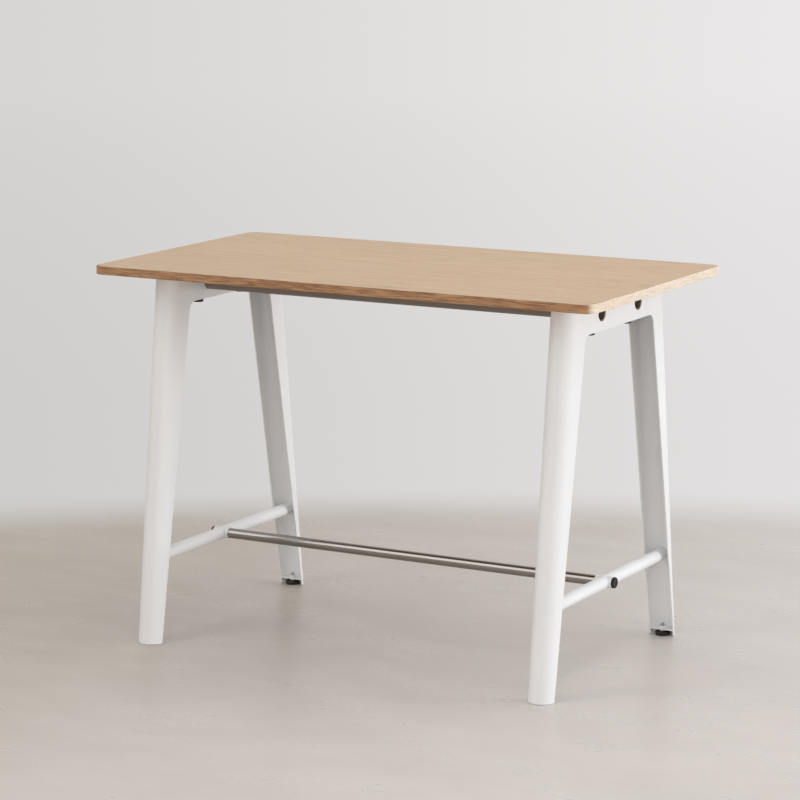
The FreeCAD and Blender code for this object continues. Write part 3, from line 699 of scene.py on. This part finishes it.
class TABLE_OT_screw_caps(bpy.types.Operator):
    """Fluted, dished heads of the six black cap screws"""
    bl_idname = "table.screw_caps"
    bl_label = "Screw caps"

    def execute(self, context):
        thickness = 6.5 * MM
        cap = self.cap_head(context.scene.table_details, 12.75 * MM, thickness)
        places = {}
        for side, x_sign in SIDES.items():
            node = f"{side}_footrest_cap"
            low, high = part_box(node)
            face = high.x if x_sign > 0 else low.x
            inwards = Matrix.Rotation(-x_sign * math.pi / 2, 4, "Y")
            places[node] = Matrix.Translation((face, 0, middle(node).z)) @ inwards
        for corner in CORNERS:
            node = f"{corner}_beam_cap"
            spot = middle(node)
            places[node] = Matrix.Translation((spot.x, spot.y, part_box(node)[0].z))
        face_to_middle = Matrix.Translation((0, 0, thickness / 2))
        for node, place in places.items():
            settle(copy_of(cap, f"{node}_head", place @ face_to_middle), "table",
                   "black_moulded_plastic", [node])
        discard(cap)
        return {"FINISHED"}

    def cap_head(self, details, radius, thickness):
        """One head round the upright axis, its face down and its neck up."""
        neck_radius, neck_length = 7 * MM, 6.5 * MM
        rim_width, dish_slope, rounding = 3.2 * MM, 0.8 * MM, 1.5 * MM
        steps = 8  # Sides of the head for each flute.
        cap = cylinder("screw_cap", steps * details.cap_flutes, radius, -thickness / 2,
                       thickness / 2)
        bpy.ops.object.mode_set(mode="EDIT")
        # The dish in the face, with a soft rim.
        select_parts(cap, "FACE", lambda face: face.normal.z < -FLAT)
        bpy.ops.mesh.inset(thickness=rim_width)
        bpy.ops.mesh.inset(thickness=dish_slope, depth=-details.cap_dish)
        select_parts(cap, "FACE", lambda face: face.normal.z > FLAT)
        bpy.ops.mesh.inset(thickness=radius - neck_radius)
        pull_up(neck_length)
        select_parts(cap, "EDGE", lambda edge: is_level(cap, edge) and all(
            math.hypot(co.x, co.y) > radius - 0.01 * MM
            and abs(abs(co.z) - thickness / 2) < SLACK for co in edge_ends(cap, edge)))
        round_edges(rounding, 5)
        bpy.ops.object.mode_set(mode="OBJECT")
        # Finger grooves: the rim is drawn in smoothly, most at its middle.
        for vertex in cap.data.vertices:
            reach = math.hypot(vertex.co.x, vertex.co.y)
            on_neck = vertex.co.z > thickness / 2 + SLACK
            if reach < radius - rounding - 0.1 * MM or on_neck:
                continue
            turn = math.atan2(vertex.co.y, vertex.co.x)
            groove = max(0.0, math.cos(details.cap_flutes * turn)) ** 2
            fade = max(0.0, 1 - (abs(vertex.co.z) / (thickness / 2)) ** 4)
            draw_in(vertex, 1 - details.cap_flute_depth * groove * fade / reach)
        return cap


class TABLE_OT_levelling_feet(bpy.types.Operator):
    """Threaded studs with their hexagons, weld nuts and moulded pads"""
    bl_idname = "table.levelling_feet"
    bl_label = "Levelling feet"

    def execute(self, context):
        stud = self.threaded_stud(context.scene.table_details)
        nut = self.weld_nut()
        nuts = []
        for corner in CORNERS:
            node = f"{corner}_levelling_stud"
            spot = middle(node)
            place = Matrix.Translation((spot.x, spot.y, 0))
            settle(copy_of(stud, f"{corner}_threaded_stud", place), f"{corner}_stud",
                   "zinc_plated_steel", [node])
            nuts.append(copy_of(nut, "nut", place))
            coat_node(f"{corner}_levelling_pad", "black_moulded_plastic")
        discard(stud)
        discard(nut)
        settle(join(nuts, "chamfered_weld_nuts"), "table", "white_powder_coat",
               ["foot_weld_nuts"])
        return {"FINISHED"}

    def threaded_stud(self, details):
        """One stud on the frame's upright axis: helical thread and a chamfered hexagon."""
        tip_chamfer, rings_per_turn = 0.8 * MM, 8
        pitch = details.thread_pitch
        low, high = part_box("right_front_levelling_stud")
        rings = round((high.z - low.z) / pitch * rings_per_turn)
        rod = cylinder("threaded_rod", ROUND_SIDES, STUD_RADIUS, low.z, high.z)
        bpy.ops.object.mode_set(mode="EDIT")
        select_parts(rod, "EDGE", lambda edge: not is_level(rod, edge))
        bpy.ops.mesh.subdivide(number_cuts=rings - 1)
        bpy.ops.object.mode_set(mode="OBJECT")
        for vertex in rod.data.vertices:
            turn = math.atan2(vertex.co.y, vertex.co.x) / math.tau
            phase = ((vertex.co.z - low.z) / pitch - turn) % 1
            # Crest and root are each flat over a tenth of the pitch.
            flank = abs(2 * phase - 1)
            depth = details.thread_depth * min(1.0, max(0.0, 1.25 * flank - 0.125))
            chamfer = max(0.0, vertex.co.z - (high.z - tip_chamfer))
            draw_in(vertex, 1 - max(depth, chamfer) / STUD_RADIUS)
        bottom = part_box("right_front_levelling_pad")[1].z
        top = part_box("right_front_foot_plate")[0].z - STOP_GAP
        return join([rod, self.hexagon("stud_hexagon", bottom, top)], "threaded_stud")

    def weld_nut(self):
        """One nut round the frame's upright axis, at the height of the foot plates."""
        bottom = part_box("right_front_foot_plate")[1].z
        top = bottom + NUT_HEIGHT
        nut = self.hexagon("weld_nut", bottom, top)
        bpy.ops.object.mode_set(mode="EDIT")
        select_parts(nut, "FACE", lambda face: abs(face.normal.z) > FLAT)
        bpy.ops.mesh.delete(type="FACE")
        bpy.ops.object.mode_set(mode="OBJECT")
        bore = cylinder("nut_bore", ROUND_SIDES, BORE_RADIUS, bottom, top, ends="NOTHING")
        nut = join([nut, bore], "weld_nut")
        bpy.ops.object.mode_set(mode="EDIT")
        for level in (bottom, top):
            select_parts(nut, "EDGE", lambda edge: all(
                abs(co.z - level) < SLACK for co in edge_ends(nut, edge)))
            bpy.ops.mesh.bridge_edge_loops()
        face_outwards()
        bpy.ops.object.mode_set(mode="OBJECT")
        return nut

    def hexagon(self, name, bottom, top):
        """A hexagon with its edges broken by 0.5 mm at both ends."""
        piece = cylinder(name, 6, ACROSS_FLATS / math.sqrt(3), bottom, top, math.radians(30))
        bpy.ops.object.mode_set(mode="EDIT")
        select_parts(piece, "EDGE", lambda edge: is_level(piece, edge))
        round_edges(0.5 * MM, 2)
        bpy.ops.object.mode_set(mode="OBJECT")
        return piece


# --- stage ---------------------------------------------------------------------------


class TABLE_OT_stage(bpy.types.Operator):
    """Plain pale floor, soft studio light and the camera"""
    bl_idname = "table.stage"
    bl_label = "Stage"

    def execute(self, context):
        stage = context.scene.table_stage
        self.floor(stage)
        self.sky(context, stage)
        self.lamp("window_light", stage.key_power, (4.1, 3.0), (11.0, 3.6, 1.5),
                  (0, 0.1, 0.9), stage.window_tone)
        self.lamp("top_light", stage.top_power, (2.6, 2.6), (1.0, 0.3, 3.3),
                  (0.7, 0.2, 0), stage.window_tone)
        self.lamp("fill_light", stage.fill_power, (2.4, 1.6), (2.2, -4.8, 1.1),
                  (0, 0, 0.6), stage.fill_tone)
        self.lamp("side_light", stage.side_power, (1.5, 3.0), (-2.4, -3.7, 3.3),
                  (0, 0, 0.2), stage.fill_tone)
        # It covers what the footrest's upper front mirrors, 18 to 63 degrees up.
        self.lamp("gloss_light", stage.gloss_power, (3.1, 4.1), (-2.55, -3.52, 3.44),
                  (0.02, 0.28, 0.58), stage.window_tone, mirrored=True)
        self.camera(context, stage)
        context.scene.view_settings.view_transform = "Standard"
        return {"FINISHED"}

    def floor(self, stage):
        """A wide disc: ground near the table, and the backdrop's tone beyond an oval."""
        select_only()
        bpy.ops.mesh.primitive_circle_add(vertices=128, radius=120, fill_type="NGON")
        floor = start("studio_floor")
        material, tree = new_material("sealed_concrete_floor")
        place = own_place(tree)
        ahead = vector_maths(tree, "DOT_PRODUCT", place, TO_BACKDROP)
        aside = vector_maths(tree, "DOT_PRODUCT", place, TO_WINDOW)
        beyond = add_node(tree, "ShaderNodeEmission", {
            "Color": self.backdrop_tone(tree, stage, place, ahead, aside), "Strength": 1.0})
        factor = maths(tree, "MULTIPLY", self.floor_end(tree, ahead, aside),
                       self.seen_directly(tree))
        mixed = add_node(tree, "ShaderNodeMixShader",
                         {0: factor, 1: self.ground(tree, stage, place), 2: beyond.outputs[0]})
        add_node(tree, "ShaderNodeOutputMaterial", {"Surface": mixed.outputs[0]})
        floor.data.materials.append(material)

    def ground(self, tree, stage, place):
        """Trowelled and sealed concrete."""
        # The window's light reaches less far to the left.
        near = self.slope(tree, place, (1.0, 0, 0), -1.5, 0.85)
        plain = blend(tree, near, opaque(stage.floor_far), opaque(stage.floor))
        # Trowelled patches, 60 to 400 mm across.
        patches = grain(tree, (2.4, 4.2, 1.0), place, Detail=6.0, Roughness=0.66)
        tone = shade(tree, plain, patches, [(0.3, 0.90), (0.7, 1.0)])
        worn = grain(tree, (3.1, 7.0, 1.0), place, Detail=4.0, Roughness=0.65)
        polish = ramp(tree, worn, [(0.35, 0.38), (0.65, 0.25)])
        return add_node(tree, "ShaderNodeBsdfPrincipled",
                        {"Base Color": tone, "Roughness": polish, "IOR": 1.45}).outputs[0]

    def backdrop_tone(self, tree, stage, place, ahead, aside):
        """A tone that changes with the bearing from a point in front and brightens with the
        distance from there; to the front and far out it's the horizon's."""
        viewpoint, least_depth, edge_bearing = 6.9, 3.0, 0.19
        wall_foot, wall_top = 10.0, 23.0
        front, middle_line = -6.0, 1.0
        horizon_start, horizon_end = 35.0, 100.0
        depth = maths(tree, "MAXIMUM", maths(tree, "ADD", ahead, viewpoint), least_depth)
        bearing = maths(tree, "DIVIDE", aside, depth)
        lit = part_way(tree, bearing, -edge_bearing, edge_bearing)
        wall = blend(tree, lit, opaque(stage.backdrop_far), opaque(stage.backdrop))
        # Painted light: the backdrop is darker near its foot and brightens with the distance, as
        # the room's light does on a wall.
        wall = shade(tree, wall, part_way(tree, depth, wall_foot, wall_top, "LINEAR"),
                     [(0.0, 0.92), (1.0, 1.0)])
        around = self.horizon_tone(tree, stage, vector_maths(tree, "NORMALIZE", place))
        wall = blend(tree, part_way(tree, ahead, front, middle_line), around, wall)
        far_out = part_way(tree, vector_maths(tree, "LENGTH", place), horizon_start,
                           horizon_end, "LINEAR")
        return blend(tree, far_out, wall, around)

    def floor_end(self, tree, ahead, aside):
        """0 on the floor and 1 beyond its end, an oval that is longer sideways and goes on
        three times as far towards the front."""
        floor_edge, backdrop_edge = 1.42, 1.95
        rearwards = maths(tree, "ADD", ahead, 0.25)
        frontwards = maths(tree, "MULTIPLY", rearwards, -0.33)
        along = maths(tree, "MAXIMUM", rearwards, frontwards)
        sideways = maths(tree, "MULTIPLY", aside, 0.6)
        oval = add_node(tree, "ShaderNodeCombineXYZ", {"X": sideways, "Y": along}).outputs[0]
        return part_way(tree, vector_maths(tree, "LENGTH", oval), floor_edge, backdrop_edge)

    def slope(self, tree, place, direction, start_at, end_at):
        """0 to 1 along a direction, between two distances from the origin."""
        return part_way(tree, vector_maths(tree, "DOT_PRODUCT", place, direction), start_at,
                        end_at)

    def horizon_tone(self, tree, stage, direction):
        """The backdrop's tone where the floor ends, brighter on the window's side."""
        side = self.slope(tree, direction, TO_WINDOW, -1.0, 1.0)
        return blend(tree, side, opaque(stage.backdrop_far), opaque(stage.backdrop))

    def seen_directly(self, tree):
        """1 for rays of the camera and for what metal and glass reflect or pass."""
        ray = add_node(tree, "ShaderNodeLightPath").outputs
        shiny = maths(tree, "MAXIMUM", ray["Is Camera Ray"], ray["Is Glossy Ray"])
        return maths(tree, "MAXIMUM", shiny, ray["Is Transmission Ray"])

    def sky(self, context, stage):
        """Even light from all round; rays that see the sky itself see the backdrop's tone."""
        world = bpy.data.worlds.new("studio_sky")
        world.use_nodes = True
        tree = world.node_tree
        tree.nodes.clear()
        bearing = add_node(tree, "ShaderNodeTexCoord").outputs["Generated"]
        light, backdrop = (add_node(tree, "ShaderNodeBackground",
                                    {"Color": tone, "Strength": strength}).outputs[0]
                           for tone, strength in (
                               (opaque(stage.ambient_tone), stage.ambient),
                               (self.horizon_tone(tree, stage, bearing), 1.0)))
        mixed = add_node(tree, "ShaderNodeMixShader",
                         {0: self.seen_directly(tree), 1: light, 2: backdrop})
        add_node(tree, "ShaderNodeOutputWorld", {"Surface": mixed.outputs[0]})
        context.scene.world = world

    def lamp(self, name, watts, size, place, target, tone, mirrored=False):
        """A soft rectangle of light on matt surfaces, or one that only glossy ones mirror."""
        bpy.ops.object.light_add(type="AREA", location=place)
        lamp = bpy.context.active_object
        lamp.name = name
        lamp.data.shape = "RECTANGLE"
        lamp.data.energy = watts
        lamp.data.color = tone
        lamp.data.size, lamp.data.size_y = size
        lamp.visible_diffuse = not mirrored
        lamp.visible_glossy = mirrored
        aim = Vector(target) - Vector(place)
        lamp.rotation_euler = aim.to_track_quat("-Z", "Y").to_euler()

    def camera(self, context, stage):
        bpy.ops.object.camera_add(location=stage.stand)
        camera = context.active_object
        ahead = Vector((-math.sin(stage.heading) * math.cos(stage.dip),
                        math.cos(stage.heading) * math.cos(stage.dip), -math.sin(stage.dip)))
        right = ahead.cross(Vector((0, 0, 1))).normalized()
        up = right.cross(ahead)
        right, up = (math.cos(stage.tilt) * right + math.sin(stage.tilt) * up,
                     math.cos(stage.tilt) * up - math.sin(stage.tilt) * right)
        camera.rotation_euler = Matrix((right, up, -ahead)).transposed().to_euler()
        camera.data.lens = stage.lens
        context.scene.camera = camera


class TABLE_PT_panel(bpy.types.Panel):
    """Pieces and settings of the table"""
    bl_label = "Standing meeting table"
    bl_idname = "TABLE_PT_panel"
    bl_space_type = "VIEW_3D"
    bl_region_type = "UI"
    bl_category = "Table"

    def draw(self, context):
        for operator in PIECES:
            self.layout.operator(operator.bl_idname)
        for name in GROUPS:
            group = getattr(context.scene, name)
            box = self.layout.box()
            for setting in group.bl_rna.properties.keys():
                if setting not in ("rna_type", "name"):
                    box.prop(group, setting)


PIECES = (TABLE_OT_tabletop, TABLE_OT_tabletop_screws, TABLE_OT_end_frames,
          TABLE_OT_weld_beads, TABLE_OT_beams, TABLE_OT_footrest, TABLE_OT_screw_caps,
          TABLE_OT_levelling_feet, TABLE_OT_stage)
GROUPS = {"table_finishes": TableFinishes, "table_details": TableDetails,
          "table_stage": TableStage}


def register():
    for name, group in GROUPS.items():
        bpy.utils.register_class(group)
        setattr(bpy.types.Scene, name, PointerProperty(type=group))
    for operator in PIECES:
        bpy.utils.register_class(operator)
    bpy.utils.register_class(TABLE_PT_panel)


def unregister():
    bpy.utils.unregister_class(TABLE_PT_panel)
    for operator in reversed(PIECES):
        bpy.utils.unregister_class(operator)
    for name, group in GROUPS.items():
        delattr(bpy.types.Scene, name)
        bpy.utils.unregister_class(group)


def main():
    register()
    bpy.ops.table.tabletop()
    bpy.ops.table.tabletop_screws()
    bpy.ops.table.end_frames()
    bpy.ops.table.weld_beads()
    bpy.ops.table.beams()
    bpy.ops.table.footrest()
    bpy.ops.table.screw_caps()
    bpy.ops.table.levelling_feet()
    bpy.ops.table.stage()


if __name__ == "__main__":
    main()
